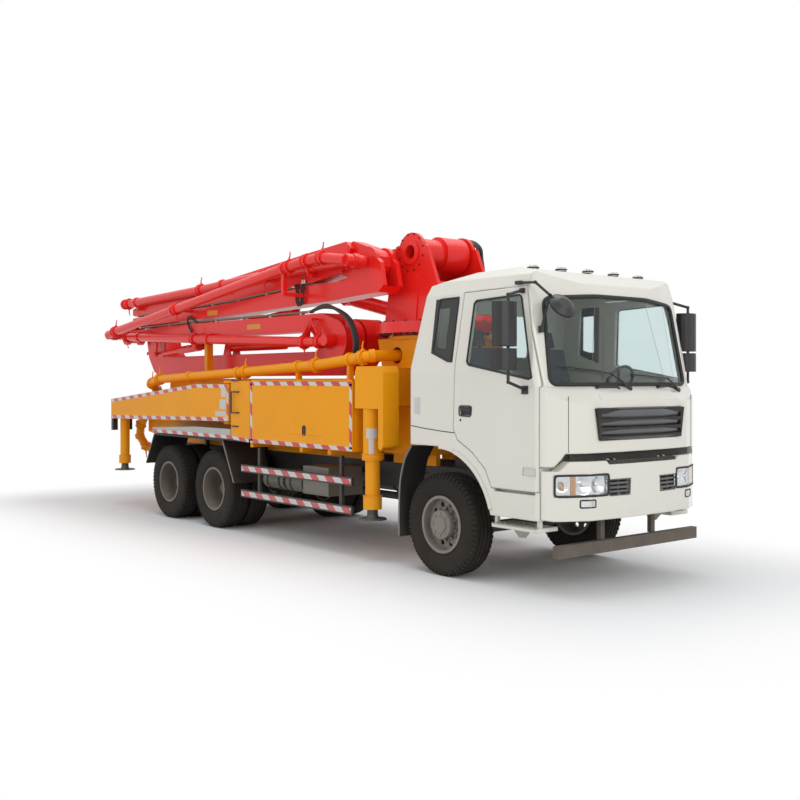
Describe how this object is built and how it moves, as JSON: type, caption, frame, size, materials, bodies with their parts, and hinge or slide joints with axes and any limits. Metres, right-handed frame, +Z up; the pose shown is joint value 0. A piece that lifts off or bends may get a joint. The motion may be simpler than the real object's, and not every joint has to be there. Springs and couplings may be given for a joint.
{
  "type": "concrete pump truck",
  "caption": "Road truck with a tilting cab, side lockers, sliding and swinging outriggers, a rear hopper, and a folding boom with its delivery pipes on a turret.",
  "frame": {"origin": "ground level under the middle of the truck", "axes": "+X towards the cab, +Y to the driver's left, +Z up"},
  "size_m": [10.5098, 3.132, 3.8598],
  "materials": {
    "black_frame": "black chassis paint, worn",
    "axle_steel": "black paint with rust",
    "engine": "dull grey",
    "tank": "dusty grey",
    "guard": "dull",
    "fender": "black, dusty",
    "cab_paint": "off-white gloss",
    "bumper_plastic": "off-white",
    "lamp": "clear cover",
    "bar": "dusty grey",
    "tyre": "dusty black",
    "rim_front": "dusty silver grey",
    "rim_rear": "dusty brown grey",
    "glass": "light grey tint",
    "grille": "black",
    "seat": "woven grey",
    "dash": "grained",
    "mirror": "black",
    "yellow": "amber yellow gloss",
    "pump": "grey",
    "grate": "dark, worn",
    "jack": "black",
    "red": "signal red gloss",
    "rod": "polished"
  },
  "bodies": {
    "chassis": {"chassis_frame": "black_frame", "axles": "axle_steel", "engine_block": "engine", "tanks": "tank", "side_guards": "guard", "mudguards": "fender", "bumper": "bumper_plastic", "headlamps": "lamp", "underrun_bar": "bar", "deck": "yellow", "lockers": "yellow", "pedestal": "yellow", "pump_unit": "pump", "hopper": "yellow", "deck_pipe": "yellow"},
    "cab": {"cab_shell": "cab_paint", "cab_glass": "glass", "grille": "grille", "seats": "seat", "dashboard": "dash", "kerb_mirror": "mirror"},
    "door_right": {"door_right": "cab_paint", "door_glass_right": "glass", "mirror_right": "mirror"},
    "door_left": {"door_left": "cab_paint", "door_glass_left": "glass", "mirror_left": "mirror"},
    "knuckle_right": {"knuckle_right": "axle_steel"},
    "knuckle_left": {"knuckle_left": "axle_steel"},
    "wheel_front_right": {"tyre_front_right": "tyre", "rim_front_right": "rim_front"},
    "wheel_front_left": {"tyre_front_left": "tyre", "rim_front_left": "rim_front"},
    "wheels_mid_right": {"tyres_mid_right": "tyre", "rims_mid_right": "rim_rear"},
    "wheels_mid_left": {"tyres_mid_left": "tyre", "rims_mid_left": "rim_rear"},
    "wheels_rear_right": {"tyres_rear_right": "tyre", "rims_rear_right": "rim_rear"},
    "wheels_rear_left": {"tyres_rear_left": "tyre", "rims_rear_left": "rim_rear"},
    "locker_door_right": {"locker_door_right": "yellow"},
    "locker_door_left": {"locker_door_left": "yellow"},
    "hopper_grate": {"hopper_grate": "grate"},
    "outrigger_front_right": {"outrigger_front_right": "yellow"},
    "outrigger_front_left": {"outrigger_front_left": "yellow"},
    "outrigger_rear_right": {"outrigger_rear_right": "yellow"},
    "outrigger_rear_left": {"outrigger_rear_left": "yellow"},
    "jack_front_right": {"jack_front_right": "jack"},
    "jack_front_left": {"jack_front_left": "jack"},
    "jack_rear_right": {"jack_rear_right": "jack"},
    "jack_rear_left": {"jack_rear_left": "jack"},
    "turret": {"turret": "red"},
    "arm_1": {"arm_1": "red"},
    "arm_2": {"arm_2": "red"},
    "arm_3": {"arm_3": "red"},
    "arm_4": {"arm_4": "red"},
    "arm_5": {"arm_5": "red"},
    "lift_barrel": {"lift_barrel": "red"},
    "lift_rod": {"lift_rod": "rod"}
  },
  "joints": [
    {"name": "cab_tilt", "type": "hinge", "parent": "chassis", "child": "cab", "pos_m": [5.125, 0, 1.26], "axis": [0, 1, 0], "range_deg": [0, 45]},
    {"name": "door_right_swing", "type": "hinge", "parent": "cab", "child": "door_right", "pos_m": [4.94, -1.185, 2], "axis": [0, 0, 1], "range_deg": [0, 65]},
    {"name": "door_left_swing", "type": "hinge", "parent": "cab", "child": "door_left", "pos_m": [4.94, 1.185, 2], "axis": [0, 0, -1], "range_deg": [0, 65]},
    {"name": "steer_right", "type": "hinge", "parent": "chassis", "child": "knuckle_right", "pos_m": [3.505, -0.9, 0.5425], "axis": [0, 0, 1], "range_deg": [-35, 35]},
    {"name": "steer_left", "type": "hinge", "parent": "chassis", "child": "knuckle_left", "pos_m": [3.505, 0.9, 0.5425], "axis": [0, 0, 1], "range_deg": [-35, 35]},
    {"name": "spin_front_right", "type": "hinge", "parent": "knuckle_right", "child": "wheel_front_right", "pos_m": [3.505, -1.03, 0.5425], "axis": [0, 1, 0], "continuous": true},
    {"name": "spin_front_left", "type": "hinge", "parent": "knuckle_left", "child": "wheel_front_left", "pos_m": [3.505, 1.03, 0.5425], "axis": [0, 1, 0], "continuous": true},
    {"name": "spin_mid_right", "type": "hinge", "parent": "chassis", "child": "wheels_mid_right", "pos_m": [-1.215, -0.933, 0.5425], "axis": [0, 1, 0], "continuous": true},
    {"name": "spin_mid_left", "type": "hinge", "parent": "chassis", "child": "wheels_mid_left", "pos_m": [-1.215, 0.933, 0.5425], "axis": [0, 1, 0], "continuous": true},
    {"name": "spin_rear_right", "type": "hinge", "parent": "chassis", "child": "wheels_rear_right", "pos_m": [-2.565, -0.933, 0.5425], "axis": [0, 1, 0], "continuous": true},
    {"name": "spin_rear_left", "type": "hinge", "parent": "chassis", "child": "wheels_rear_left", "pos_m": [-2.565, 0.933, 0.5425], "axis": [0, 1, 0], "continuous": true},
    {"name": "locker_door_right_lift", "type": "hinge", "parent": "chassis", "child": "locker_door_right", "pos_m": [0.935, -1.238, 2.062], "axis": [-1, 0, 0], "range_deg": [0, 85]},
    {"name": "locker_door_left_lift", "type": "hinge", "parent": "chassis", "child": "locker_door_left", "pos_m": [0.935, 1.238, 2.062], "axis": [1, 0, 0], "range_deg": [0, 85]},
    {"name": "grate_lift", "type": "hinge", "parent": "chassis", "child": "hopper_grate", "pos_m": [-3.59, 0, 1.472], "axis": [0, 1, 0], "range_deg": [0, 55]},
    {"name": "outrigger_front_right_out", "type": "slide", "parent": "chassis", "child": "outrigger_front_right", "axis": [0, -1, 0], "range_m": [0, 1]},
    {"name": "outrigger_front_left_out", "type": "slide", "parent": "chassis", "child": "outrigger_front_left", "axis": [0, 1, 0], "range_m": [0, 1]},
    {"name": "outrigger_rear_right_swing", "type": "hinge", "parent": "chassis", "child": "outrigger_rear_right", "pos_m": [-0.975, -1.05, 1.75], "axis": [0, 0, 1], "range_deg": [0, 90]},
    {"name": "outrigger_rear_left_swing", "type": "hinge", "parent": "chassis", "child": "outrigger_rear_left", "pos_m": [-0.975, 1.05, 1.75], "axis": [0, 0, -1], "range_deg": [0, 90]},
    {"name": "jack_front_right_down", "type": "slide", "parent": "outrigger_front_right", "child": "jack_front_right", "axis": [0, 0, -1], "range_m": [0, 0.46]},
    {"name": "jack_rear_right_down", "type": "slide", "parent": "outrigger_rear_right", "child": "jack_rear_right", "axis": [0, 0, -1], "range_m": [0, 0.58]},
    {"name": "jack_front_left_down", "type": "slide", "parent": "outrigger_front_left", "child": "jack_front_left", "axis": [0, 0, -1], "range_m": [0, 0.46]},
    {"name": "jack_rear_left_down", "type": "slide", "parent": "outrigger_rear_left", "child": "jack_rear_left", "axis": [0, 0, -1], "range_m": [0, 0.58]},
    {"name": "slew", "type": "hinge", "parent": "chassis", "child": "turret", "pos_m": [2.205, 0, 2.6], "axis": [0, 0, -1], "range_deg": [-180, 180]},
    {"name": "boom_lift", "type": "hinge", "parent": "turret", "child": "arm_1", "pos_m": [2.005, 0, 3.62], "axis": [0, 1, 0], "range_deg": [0, 90]},
    {"name": "lift_barrel_pivot", "type": "hinge", "parent": "arm_1", "child": "lift_barrel", "pos_m": [0.005, 0.28, 3.2], "axis": [0, -1, 0], "range_deg": [0, 12]},
    {"name": "lift_rod_stroke", "type": "slide", "parent": "lift_barrel", "child": "lift_rod", "axis": [0.9759, 0, -0.2183], "range_m": [0, 1.21]},
    {"name": "fold_1", "type": "hinge", "parent": "arm_1", "child": "arm_2", "pos_m": [-4.795, 0, 3.1], "axis": [0, -1, 0], "range_deg": [0, 180]},
    {"name": "fold_2", "type": "hinge", "parent": "arm_2", "child": "arm_3", "pos_m": [1.005, -0.4, 2.57], "axis": [0, 1, 0], "range_deg": [0, 180]},
    {"name": "fold_3", "type": "hinge", "parent": "arm_3", "child": "arm_4", "pos_m": [-5.095, -0.6, 2.83], "axis": [0, -1, 0], "range_deg": [0, 180]},
    {"name": "fold_4", "type": "hinge", "parent": "arm_4", "child": "arm_5", "pos_m": [1.705, -0.6, 3.5], "axis": [0, 1, 0], "range_deg": [0, 180]}
  ],
  "couplings": [
    {"joint": "steer_left", "follows": "steer_right", "ratio": 1},
    {"joint": "slew", "follows": "boom_lift", "ratio": 2},
    {"joint": "lift_barrel_pivot", "follows": "boom_lift", "ratio": 0.12633},
    {"joint": "lift_rod_stroke", "follows": "boom_lift", "m_per_rad": 0.76585},
    {"joint": "fold_2", "follows": "fold_1", "ratio": 1}
  ]
}
